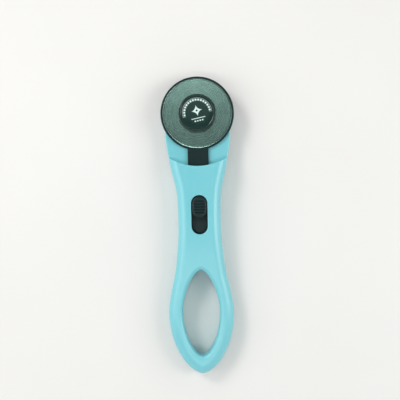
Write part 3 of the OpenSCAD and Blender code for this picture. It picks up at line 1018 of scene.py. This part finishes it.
@dataclass
class Handle:
    """The two shells of the handle and the screws that join them.

    Sizes are in millimetres. A name in _s is a place behind the blade's axis, and a name in _z is a height
    above the plane that the cutter rests on. The ribs stand at front_ribs, and at back_ribs past the window.
    The click spring stands on posts at click_s, in leaf_slot, given as half its thickness and half its length.
    """

    plan: HandlePlan
    wall: float = 2.5
    edge_across: float = 6.0
    edge_down: float = 5.4
    finger_round: float = 2.6
    window_round: float = 0.7
    front_round: float = 0.9
    crown: float = 0.5
    seam_lip: float = 0.3
    plate_lip: float = 0.7
    floor_z: float = 3.5
    hollow_front: float = 40.0
    hollow_room: float = 14.5
    front_ribs: tuple[float, float] = (47.9, 52.4)
    back_ribs: tuple[float, float] = (-2.5, 8.0)
    rib_t: float = 1.6
    mouth_room: float = 6.0
    rail_w: float = 1.5
    rail_gap: float = 0.5
    rail_z: float = 14.2
    boss_r: float = 3.5
    front_boss_gap: float = 0.16
    rear_boss_gap: float = 0.06
    click_s: float = 68.9
    leaf_x: float = 8.15
    leaf_z: float = 10.4
    leaf_half: float = 9.0
    leaf_slot: tuple[float, float] = (0.25, 10.05)
    post_w: float = 2.6
    side_screw_x: float = 11.0
    side_screw_room: float = 2.3
    middle_screw_room: float = 3.1
    screw_r: float = 1.3
    screw_gap: float = 0.2
    screw_head_r: float = 2.5
    screw_seat_z: float = 3.0
    screw_head_z: float = 1.2
    screw_end_z: float = 13.0
    cross_half: float = 0.33

    def __post_init__(self) -> None:
        """Places the hollow, the ribs and the screws."""
        plan = self.plan
        self.hollow_s = (self.hollow_front, plan.window_back + self.hollow_room)
        self.ribs = [*self.front_ribs, *(plan.window_back + past for past in self.back_ribs)]
        side_s = self.hollow_s[0] + self.side_screw_room
        self.side_screws = [(-self.side_screw_x, side_s), (self.side_screw_x, side_s)]
        self.screws = [
            *self.side_screws,
            (0.0, self.hollow_s[1] + self.middle_screw_room),
            (0.0, plan.tip_s - plan.tip_band / 2),
        ]

    def arc_shift(self, x: float, s: float) -> float:
        """Bends the rows near the cover's front edge onto its arc round the blade's axis.

        Args:
            x: distance from the centre line.
            s: distance behind the blade's axis.

        Returns:
            The shift along s, which fades out away from the edge.
        """
        radius, fade = self.plan.cover_r, 12.0
        sag = math.sqrt(max(0.0, radius * radius - min(x, radius) ** 2)) - radius
        return sag * (1 - ease(0.0, 1.0, abs(s - radius) / fade))

    def opening(self, s: float) -> float:
        """Half width of whatever opens the front face at s."""
        return max(self.finger(s), self.window(s))

    def finger(self, s: float) -> float:
        """Half width of the finger opening, or 0."""
        inside = self.plan.finger_front < s < self.plan.finger_back
        return self.plan.finger_half(s) if inside else 0.0

    def window(self, s: float) -> float:
        """Half width of the slide's window, or 0."""
        inside = self.plan.window_front < s < self.plan.window_back
        return self.plan.window_half(s) if inside else 0.0

    def front_face(self, x: float, s: float) -> float:
        """Height of the front face, crowned and rounded at every edge.

        Args:
            x: distance from the centre line.
            s: distance behind the blade's axis.

        Returns:
            The height.
        """
        plan = self.plan
        drop = fillet(plan.outer_rim.gap(x, s), self.edge_across, self.edge_down)
        drop += fillet(plan.finger_rim.gap(x, s), self.finger_round, self.finger_round)
        drop += fillet(plan.window_rim.gap(x, s), self.window_round, self.window_round)
        drop += fillet(max(0.0, math.hypot(x, s) - plan.cover_r), self.front_round, self.front_round)
        return plan.front_z(s) - drop - self.crown * (x / (plan.head_w / 2)) ** 2

    def rear_face(self, x: float, s: float) -> float:
        """Height of the rear face, rounded at every edge.

        Args:
            x: distance from the centre line.
            s: distance behind the blade's axis.

        Returns:
            The height.
        """
        plan = self.plan
        low = plan.rear_z(s)
        down = min(self.edge_down, (plan.plate_z1 - low) * 0.6)  # the thin plate has a smaller edge
        rise = fillet(plan.outer_rim.gap(x, s), self.edge_across * down / self.edge_down, down)
        rise += fillet(plan.finger_rim.gap(x, s), self.finger_round, self.finger_round)
        return low + rise

    def hollow(self, z0: float, z1: float) -> bpy.types.Object:
        """Models a cutting solid for the grip's hollow, one wall inside the outline.

        Args:
            z0: height of its lower end.
            z1: height of its upper end.

        Returns:
            The solid.
        """
        bpy.ops.object.select_all(action="DESELECT")
        bpy.ops.mesh.primitive_grid_add(x_subdivisions=1, y_subdivisions=12, size=1.0)
        made = bpy.context.active_object
        low_s, high_s = self.hollow_s
        for vertex in made.data.vertices:
            s = low_s + (high_s - low_s) * (0.5 - vertex.co.y)
            half = self.plan.half_w(s) - self.wall
            vertex.co = (math.copysign(half, vertex.co.x) * MM, -s * MM, z0 * MM)
        bpy.ops.object.mode_set(mode="EDIT")
        bpy.ops.mesh.select_all(action="SELECT")
        bpy.ops.mesh.extrude_region_move(TRANSFORM_OT_translate={"value": (0, 0, (z1 - z0) * MM)})
        bpy.ops.object.mode_set(mode="OBJECT")
        tidy_mesh(made)
        return made

    def front_shell(self) -> bpy.types.Object:
        """The front cover: crowned, with the finger opening, the slide's window and a concave front edge."""
        plan = self.plan
        rows = eased_steps(plan.cover_r, plan.window_front, 26)[:-1]
        rows += eased_steps(plan.window_front, plan.window_back, 40)[:-1]
        rows += eased_steps(plan.window_back, plan.finger_front, 26)[:-1]
        rows += eased_steps(plan.finger_front, plan.finger_back, 72)[:-1]
        rows += eased_steps(plan.finger_back, plan.tip_s, 26)
        shell = MouldedShell(
            rows=rows, columns=30, inner=self.opening, outer=plan.half_w, face=self.front_face,
            seam=lambda row: plan.seam_z + plan.seam_gap, lip=lambda row: self.seam_lip,
            upward=True, shift=self.arc_shift,
        ).build("front_cover_shell")
        low_s, high_s = self.hollow_s
        roof = plan.grip_t - self.wall
        combine(shell, self.hollow(plan.seam_z - OVER, roof), "DIFFERENCE")
        mouth, mouth_s = plan.arm_w / 2 + FREE_GAP, plan.cover_r - self.mouth_room
        slot = block((-mouth, -low_s - OVER, plan.plate_z1), (mouth, -mouth_s, self.rail_z))
        combine(shell, slot, "DIFFERENCE")
        rail_x = plan.window_w / 2 + self.rail_gap
        solids = []
        for side in (-1, 1):
            x0, x1 = across(side, rail_x, rail_x + self.rail_w)
            solids.append(block((x0, -high_s - SUNK, self.rail_z), (x1, -low_s + SUNK, roof + SUNK)))
        boss_z = plan.seam_z + self.front_boss_gap
        solids += [rod(x, -s, self.boss_r, boss_z, roof + SUNK) for x, s in self.side_screws]
        combine(shell, gather(solids), "UNION")
        pilot_r, pilot_z = self.screw_r + FIT, self.screw_end_z + SUNK
        pilots = [rod(x, -s, pilot_r, plan.seam_z - OVER, pilot_z) for x, s in self.screws]
        combine(shell, gather(pilots), "DIFFERENCE")
        smooth(shell, slivers=CUT_SLIVER)
        return shell

    def rear_shell(self) -> bpy.types.Object:
        """The rear shell with the flat head plate, hollow grip, ribs and screw seats."""
        plan = self.plan
        rows = eased_steps(-plan.head_reach, plan.cover_r, 56)
        plate_rows = len(rows)
        rows += eased_steps(plan.cover_r, plan.finger_front, 60)[:-1]
        rows += eased_steps(plan.finger_front, plan.finger_back, 72)[:-1]
        rows += eased_steps(plan.finger_back, plan.tip_s, 26)
        shell = MouldedShell(
            rows=rows, columns=30, inner=self.finger, outer=plan.half_w, face=self.rear_face,
            seam=lambda row: plan.plate_z1 if row < plate_rows else plan.seam_z,
            lip=lambda row: self.plate_lip if row < plate_rows else self.seam_lip,
            upward=False, shift=self.arc_shift, round_head=True,
        ).build("rear_handle_shell")
        combine(shell, self.hollow(self.floor_z, plan.seam_z + 2 * OVER), "DIFFERENCE")
        combine(shell, gather(self.rear_solids()), "UNION")
        combine(shell, gather(self.rear_cuts()), "DIFFERENCE")
        smooth(shell, slivers=CUT_SLIVER)
        return shell

    def rear_solids(self) -> list[bpy.types.Object]:
        """The ribs under the arm, the posts of the click spring and the bosses of the side screws."""
        plan, foot = self.plan, self.floor_z - SUNK
        half_w, half_t, half_post = (plan.arm_w - 1) / 2, self.rib_t / 2, self.post_w / 2
        top = plan.plate_z1
        solids = [block((-half_w, -s - half_t, foot), (half_w, -s + half_t, top)) for s in self.ribs]
        for s in (self.click_s - self.leaf_half, self.click_s + self.leaf_half):
            low = (-self.leaf_x - half_post, -s - half_post, foot)
            solids.append(block(low, (-self.leaf_x + half_post, -s + half_post, top)))
        boss_z = plan.seam_z - self.rear_boss_gap
        return solids + [rod(x, -s, self.boss_r, foot, boss_z) for x, s in self.side_screws]

    def rear_cuts(self) -> list[bpy.types.Object]:
        """The stepped screw holes, the bolt's hole and the slot that holds the click spring."""
        plan = self.plan
        recess, shank, top = self.screw_head_r + FREE_GAP, self.screw_r + self.screw_gap, plan.seam_z + OVER
        profile = [(0, -OVER), (recess, -OVER), (recess, self.screw_seat_z)]
        profile += [(shank, self.screw_seat_z), (shank, top), (0, top)]
        cuts = []
        for x, s in self.screws:
            cut = turned(profile, 64, closed=False)
            cut.location = (x * MM, -s * MM, 0)
            cuts.append(cut)
        half, reach = self.leaf_slot
        low = (-self.leaf_x - half, -self.click_s - reach, self.leaf_z - FIT)
        high = (-self.leaf_x + half, -self.click_s + reach, plan.plate_z1 + OVER)
        return cuts + [rod(0, 0, BOLT_HOLE_R, plan.plate_z0 - OVER, plan.plate_z1 + OVER), block(low, high)]

    def screw_set(self) -> bpy.types.Object:
        """Four self-tapping screws with domed cross-recess heads."""
        head, shank = self.screw_head_r, self.screw_r
        top, seat, end = self.screw_head_z, self.screw_seat_z, self.screw_end_z
        profile = [
            (0, top), (head * 0.45, top + 0.03), (head * 0.8, top + 0.22), (head * 0.96, top + 0.6),
            (head, top + 1.0), (head, seat - 0.15), (head - 0.15, seat), (shank, seat), (shank, end - 1.2),
            (0.35, end), (0, end),
        ]
        first = turned(profile, 48, closed=False)
        for half_x, half_y in ((head * 0.62, self.cross_half), (self.cross_half, head * 0.62)):
            arm = block((-half_x, -half_y, top - OVER), (half_x, half_y, top + 0.95), 0.08)
            combine(first, arm, "DIFFERENCE")
        smooth(first, slivers=CUT_SLIVER)
        copies = []
        for x, s in self.screws:
            only(first)
            bpy.ops.object.duplicate()
            copy = bpy.context.active_object
            copy.location = (x * MM, -s * MM, 0)
            copies.append(copy)
        bpy.data.objects.remove(first, do_unlink=True)
        return settle(gather(copies), "shell_screw_set")

    def pieces(self) -> list[Piece]:
        """The handle's pieces."""
        return [
            Piece(self.front_shell(), Slot.HANDLE, Body.HANDLE, "front_shell"),
            Piece(self.rear_shell(), Slot.HANDLE, Body.HANDLE, "rear_shell"),
            Piece(self.screw_set(), Slot.SCREW, Body.HANDLE, "handle_screws"),
        ]


@dataclass
class GuardSlide:
    """The guard disc with its arm, and the thumb slide that moves it. Sizes are in millimetres."""

    plan: HandlePlan
    rim_w: float = 1.6
    dish: float = 0.4
    edge: float = 0.4
    arm_root: float = 2.2
    slot_r: float = 4.05
    slot_start: float = 0.01
    travel: float = 10.0
    click_past: float = 8.0
    click_r: float = 1.8
    click_out: float = 1.1
    ridges: int = 6
    ridge_h: float = 0.62
    ridge_margin: float = 1.5
    ridge_inset: float = 0.5
    saddle_h: float = 0.25
    saddle_half: float = 7.0
    face_drop: float = 0.95
    knob_round: float = 0.9
    knob_lip: float = 0.15
    leg_x: float = 2.6
    leg_half_t: float = 0.75
    leg_half_l: float = 2.0
    hook_x: float = 4.05
    hook_t: float = 0.8

    def __post_init__(self) -> None:
        """Reads the places of the guard and the slide from the frame."""
        low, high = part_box("blade_guard")
        self.disc_r = high[0] / MM
        self.z0, self.z1 = low[2] / MM, high[2] / MM
        self.arm_end = -low[1] / MM
        low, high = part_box("thumb_slide")
        self.knob_s = (-high[1] / MM, -low[1] / MM)
        self.knob_w = (high[0] - low[0]) / MM
        self.knob_top = high[2] / MM
        self.hook_z = low[2] / MM
        self.middle = sum(self.knob_s) / 2

    def guard(self) -> bpy.types.Object:
        """The dished disc with its arm, the bush's slot, the slide's leg holes and the click notches."""
        r, z0, z1, edge = self.disc_r, self.z0, self.z1, self.edge
        floor = z1 - self.dish
        profile = [(0, z0), *corner(r - edge, z0 + edge, edge, -90), *corner(r - edge, z1 - edge, edge, 0)]
        profile += [(r - self.rim_w + 0.1, z1), (r - self.rim_w - 0.3, floor), (0, floor)]
        disc = turned(profile, 192, closed=False)
        half = self.plan.arm_w / 2
        combine(disc, block((-half, -self.arm_end, z0), (half, -r + self.arm_root, z1), edge), "UNION")
        z0, z1 = z0 - OVER, z1 + OVER
        cuts = [block((-self.slot_r, self.slot_start, z0), (self.slot_r, self.travel, z1))]
        half_t, half_l = self.leg_half_t + FIT, self.leg_half_l + FIT
        back, front = -self.middle - half_l, -self.middle + half_l
        cuts += [block((x - half_t, back, z0), (x + half_t, front, z1)) for x in (-self.leg_x, self.leg_x)]
        click = self.middle + self.click_past
        for s in (click, click - self.travel):
            cuts.append(rod(-half - self.click_out, -s, self.click_r, z0, z1, 46))
        combine(disc, gather(cuts), "DIFFERENCE")
        for end in (0, self.travel):
            combine(disc, rod(0, end, self.slot_r, z0, z1, 70), "DIFFERENCE")
        smooth(disc, slivers=CUT_SLIVER)
        return settle(disc, "guard_disc_and_arm")

    def knob_half(self, s: float) -> float:
        """Half width of the slide's round-ended outline.

        Args:
            s: distance behind the blade's axis.

        Returns:
            The half width.
        """
        r = self.knob_w / 2
        inside = max(0.0, self.knob_s[0] + r - s, s - self.knob_s[1] + r)
        return math.sqrt(max(0.0, r * r - min(inside, r) ** 2))

    def knob_face(self, rim: Rim) -> Callable[[float, float], float]:
        """Shapes the slide's upper face: a shallow saddle with cross ridges and a round edge.

        Args:
            rim: the slide's outline.

        Returns:
            The height of the face as a function of x and s.
        """
        pitch = (self.knob_s[1] - self.knob_s[0] - 2 * self.ridge_margin) / self.ridges
        span = self.ridges * pitch / 2

        def height(x: float, s: float) -> float:
            """Height of the face at x and s."""
            along, gap = s - self.middle, rim.gap(x, s)
            saddle = self.saddle_h * (along / self.saddle_half) ** 2
            fade = ease(0.0, 1.0, (gap - self.ridge_inset) / self.knob_round) if abs(along) < span else 0.0
            wave = 0.5 - 0.5 * math.cos(math.tau * (along + span) / pitch)
            drop = self.face_drop + fillet(gap, self.knob_round, self.knob_round)
            return self.knob_top - drop + saddle + self.ridge_h * wave ** 0.8 * fade

        return height

    def knob(self) -> bpy.types.Object:
        """The ridged thumb slide with its two snap legs."""
        rim = Rim([(self.knob_half(s), s) for s in eased_steps(*self.knob_s, 500)])
        solid = MouldedShell(
            rows=eased_steps(*self.knob_s, 120), columns=28, inner=lambda s: 0.0, outer=self.knob_half,
            face=self.knob_face(rim), seam=lambda row: self.z1, lip=lambda row: self.knob_lip, upward=True,
            round_head=True, fade=5.0,
        ).build("ridged_thumb_slide")
        back, front, z0 = -self.middle - self.leg_half_l, -self.middle + self.leg_half_l, self.hook_z
        for side in (-1, 1):
            x0, x1 = across(side, self.leg_x - self.leg_half_t, self.leg_x + self.leg_half_t)
            leg = block((x0, back, z0), (x1, front, self.z1 + SUNK))
            x0, x1 = across(side, self.leg_x, self.hook_x)
            combine(leg, block((x0, back, z0), (x1, front, z0 + self.hook_t)), "UNION")
            combine(solid, leg, "UNION")
        smooth(solid, 40)
        return solid

    def pieces(self) -> list[Piece]:
        """The pieces that travel together."""
        return [
            Piece(self.guard(), Slot.DARK, Body.GUARD, "blade_guard"),
            Piece(self.knob(), Slot.DARK, Body.GUARD, "thumb_slide"),
        ]


@dataclass
class BladeHead:
    """The blade, the hub cap with its badge, and the clamp nut on the rear. Sizes are in millimetres."""

    bevel: float = 0.9
    hone: float = 0.3
    hone_half_t: float = 0.08
    edge_half_t: float = 0.02
    hole_r: float = 4.0
    cap_floor: float = 1.2
    cap_pocket_r: float = 4.75
    cap_bottom_round: float = 0.5
    cap_top_round: float = 0.8
    nut_bottom_round: float = 0.9
    nut_top_round: float = 0.7
    nut_notches: int = 24
    notch_depth: float = 0.75
    notch_wall: float = 1.2
    flange_seat: float = 1.1

    def blade(self) -> bpy.types.Object:
        """The round blade with a double bevel and a honed edge."""
        low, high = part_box("blade")
        r, z0, z1 = high[0] / MM, low[2] / MM, high[2] / MM
        middle, hone, edge = (z0 + z1) / 2, self.hone_half_t, self.edge_half_t
        profile = [
            (self.hole_r, z0), (r - self.bevel, z0), (r - self.hone, middle - hone), (r, middle - edge),
            (r, middle + edge), (r - self.hone, middle + hone), (r - self.bevel, z1), (self.hole_r, z1),
        ]
        made = turned(profile, 256, closed=True)
        smooth(made, 4)
        return settle(made, "round_blade")

    def hub(self) -> bpy.types.Object:
        """The hub cap: a rounded rim round the sunk badge, and the pocket of the bolt's head below."""
        low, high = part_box("hub_cap")
        r, z0, z1 = high[0] / MM, low[2] / MM, high[2] / MM
        badge_low, badge_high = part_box("hub_badge")
        pocket, pocket_z = badge_high[0] / MM + FIT, badge_low[2] / MM
        bolt_z, low_round, top_round = z0 + self.cap_floor, self.cap_bottom_round, self.cap_top_round
        profile = [(BOLT_HOLE_R, z0), *corner(r - low_round, z0 + low_round, low_round, -90)]
        profile += corner(r - top_round, z1 - top_round, top_round, 0, 8)
        profile += [(pocket + 0.85, z1), (pocket + 0.6, z1 - 0.06), (pocket + 0.3, z1 - 0.18)]
        profile += [(pocket + 0.1, z1 - 0.3), (pocket, z1 - 0.48), (pocket, pocket_z)]
        profile += [(self.cap_pocket_r, pocket_z), (self.cap_pocket_r, bolt_z), (BOLT_HOLE_R, bolt_z)]
        made = turned(profile, 160, closed=True)
        smooth(made)
        return settle(made, "hub_cap_with_rim")

    def badge(self) -> bpy.types.Object:
        """The printed disc, slightly crowned."""
        low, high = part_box("hub_badge")
        r, z0, z1 = high[0] / MM, low[2] / MM, high[2] / MM
        profile = [(0, z0), (r, z0), *corner(r - 0.2, z1 - 0.22, 0.2, 0, 3), (r * 0.7, z1 - 0.006), (0, z1)]
        made = turned(profile, 128, closed=False)
        smooth(made)
        return settle(made, "printed_hub_badge")

    def nut(self) -> bpy.types.Object:
        """The clamp nut: scalloped side, shallow ring in the closed face, seat for its insert."""
        _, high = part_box("clamp_nut")
        r, z1 = high[1] / MM, high[2] / MM
        insert_low, insert_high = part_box("nut_insert")
        flange_r, floor = insert_high[0] / MM, insert_low[2] / MM
        seat_r, seat_z, bore_r = flange_r + 0.02, z1 - self.flange_seat, flange_r - 1
        low_round, top_round = self.nut_bottom_round, self.nut_top_round
        profile = [(0, 0.0), (6.6, 0.0), (6.9, 0.25), (7.5, 0.25), (7.8, 0.0)]
        profile += corner(r - low_round, low_round, low_round, -90, 6)
        profile += corner(r - top_round, z1 - top_round, top_round, 0)
        profile += [(seat_r, z1), (seat_r, seat_z), (bore_r, seat_z), (bore_r, floor), (0, floor)]
        made = turned(profile, 12 * self.nut_notches, closed=False)
        for vertex in made.data.vertices:
            radius = math.hypot(vertex.co.x, vertex.co.y) / MM
            depth = radius - r + self.notch_wall
            if depth > 0:
                turn = math.atan2(vertex.co.y, vertex.co.x) * self.nut_notches
                bite = self.notch_depth * max(0.0, math.cos(turn)) ** 1.5 * min(1.0, depth)
                vertex.co.x *= 1 - bite / radius
                vertex.co.y *= 1 - bite / radius
        smooth(made, 40)
        return settle(made, "scalloped_clamp_nut")

    def pieces(self) -> list[Piece]:
        """The pieces round the blade's axis."""
        return [
            Piece(self.blade(), Slot.BLADE, Body.BLADE, "blade"),
            Piece(self.hub(), Slot.HUB, Body.HANDLE, "hub_cap"),
            Piece(self.badge(), Slot.BADGE, Body.HANDLE, "hub_badge"),
            Piece(self.nut(), Slot.DARK, Body.NUT, "clamp_nut"),
        ]


CAD_FINISHES: dict[str, Slot] = {
    "pivot_bolt": Slot.SCREW,
    "pivot_bush": Slot.SCREW,
    "spring_washer": Slot.SPRING,
    "detent_spring": Slot.SPRING,
    "nut_insert": Slot.BRASS,
}


def finish_cad_nodes(materials: dict[Slot, bpy.types.Material]) -> None:
    """Gives the CAD nodes that stay their materials.

    Args:
        materials: the material for each slot.
    """
    for name, slot in CAD_FINISHES.items():
        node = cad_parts[name]
        for place in node.material_slots:
            place.material = materials[slot]
        if not node.material_slots:
            node.data.materials.append(materials[slot])
        LOG.info("%s: CAD node with %s", name, slot.value)


# ---------------------------------------------------------------- studio


@dataclass
class Studio:
    """Camera, pale floor and soft light, with places in metres unless a name says otherwise."""

    distance_mm: float = 547.6
    lens_mm: float = 76.0
    look_at_mm: tuple[float, float] = (0.57, -56.38)
    roll_deg: float = -1.3
    middle: Point = (0.0, -0.06, 0.0)
    floor_r: float = 0.65
    floor_drop_mm: float = 0.05
    horizon: float = 1.3
    zenith: float = 0.06

    def camera(self) -> None:
        """A camera straight above the cutter."""
        bpy.ops.object.select_all(action="DESELECT")
        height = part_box("blade")[1][2] + self.distance_mm * MM
        x, y = self.look_at_mm
        turn = (0, 0, math.radians(self.roll_deg))
        bpy.ops.object.camera_add(location=(x * MM, y * MM, height), rotation=turn)
        camera = bpy.context.active_object
        camera.data.lens = self.lens_mm
        camera.data.sensor_width = 36.0
        camera.data.clip_start = 0.01
        bpy.context.scene.camera = camera

    def floor(self) -> None:
        """A round pale floor under the cutter."""
        bpy.ops.object.select_all(action="DESELECT")
        place = (*self.middle[:2], -self.floor_drop_mm * MM)
        bpy.ops.mesh.primitive_circle_add(vertices=128, radius=self.floor_r, fill_type="NGON", location=place)
        floor = bpy.context.active_object
        floor.name = "pale_floor"
        graph = Finish("pale_floor")
        tone = graph.noise(0.01, 2.0)
        graph.surface(Base_Color=graph.blend(tone, rgb(226, 224, 220), rgb(232, 230, 227)), Roughness=0.85)
        floor.data.materials.append(graph.material)

    def lamp(self, name: str, place: Point, target: Point, wide: float, deep: float, power: float) -> None:
        """Adds a rectangular light that faces a point.

        Args:
            name: the light's name.
            place: where it stands.
            target: the point that it faces.
            wide: its width.
            deep: its depth.
            power: its power in watts.
        """
        bpy.ops.object.select_all(action="DESELECT")
        bpy.ops.object.light_add(type="AREA", location=place)
        light = bpy.context.active_object
        light.name = name
        light.data.shape = "RECTANGLE"
        light.data.size = wide
        light.data.size_y = deep
        light.data.energy = power
        light.rotation_euler = (Vector(target) - Vector(place)).to_track_quat("-Z", "Y").to_euler()

    def lights(self) -> None:
        """A key from the head's left, soft sides, a small glow over the head and a strip over the foot."""
        axis = (0.0, 0.0, 0.0)
        self.lamp("key_light", (-0.55, 0.42, 0.72), self.middle, 0.30, 0.30, 3.6)
        self.lamp("left_light", (-0.70, -0.10, 0.62), self.middle, 0.40, 0.60, 1.8)
        self.lamp("right_light", (0.70, -0.04, 0.62), self.middle, 0.40, 0.60, 2.9)
        self.lamp("head_glow", (0.0, 0.25, 1.0), axis, 0.16, 0.16, 0.35)
        self.lamp("foot_light", (-0.06, -0.37, 0.95), axis, 0.9, 0.1, 1.5)

    def surroundings(self) -> None:
        """A pale sky, bright at the horizon and dark overhead."""
        world = bpy.data.worlds.new("studio")
        world.use_nodes = True
        background = world.node_tree.nodes["Background"]
        graph = Graph(world.node_tree)
        direction = graph.node("ShaderNodeTexCoord", {}, [], "Generated")
        height = graph.node("ShaderNodeSeparateXYZ", {}, [direction], "Z")
        strength = graph.node("ShaderNodeMapRange", {}, {
            "Value": height, "From Min": 0.0, "From Max": 1.0, "To Min": self.horizon, "To Max": self.zenith,
        })
        graph.feed(background.inputs["Color"], (0.95, 0.98, 1.0, 1.0))
        graph.feed(background.inputs["Strength"], strength)
        bpy.context.scene.world = world

    def build(self) -> None:
        """Sets up the whole studio."""
        self.camera()
        self.floor()
        self.lights()
        self.surroundings()
        bpy.context.scene.view_settings.view_transform = "Standard"


def main() -> None:
    """Builds the cutter and the studio."""
    logging.basicConfig(level=logging.INFO, format="%(message)s")
    Studio().build()
    materials = finishes()
    plan = HandlePlan()
    for assembly in (Handle(plan), GuardSlide(plan), BladeHead()):
        for piece in assembly.pieces():
            piece.dress(materials)
    finish_cad_nodes(materials)


if __name__ == "__main__":
    main()
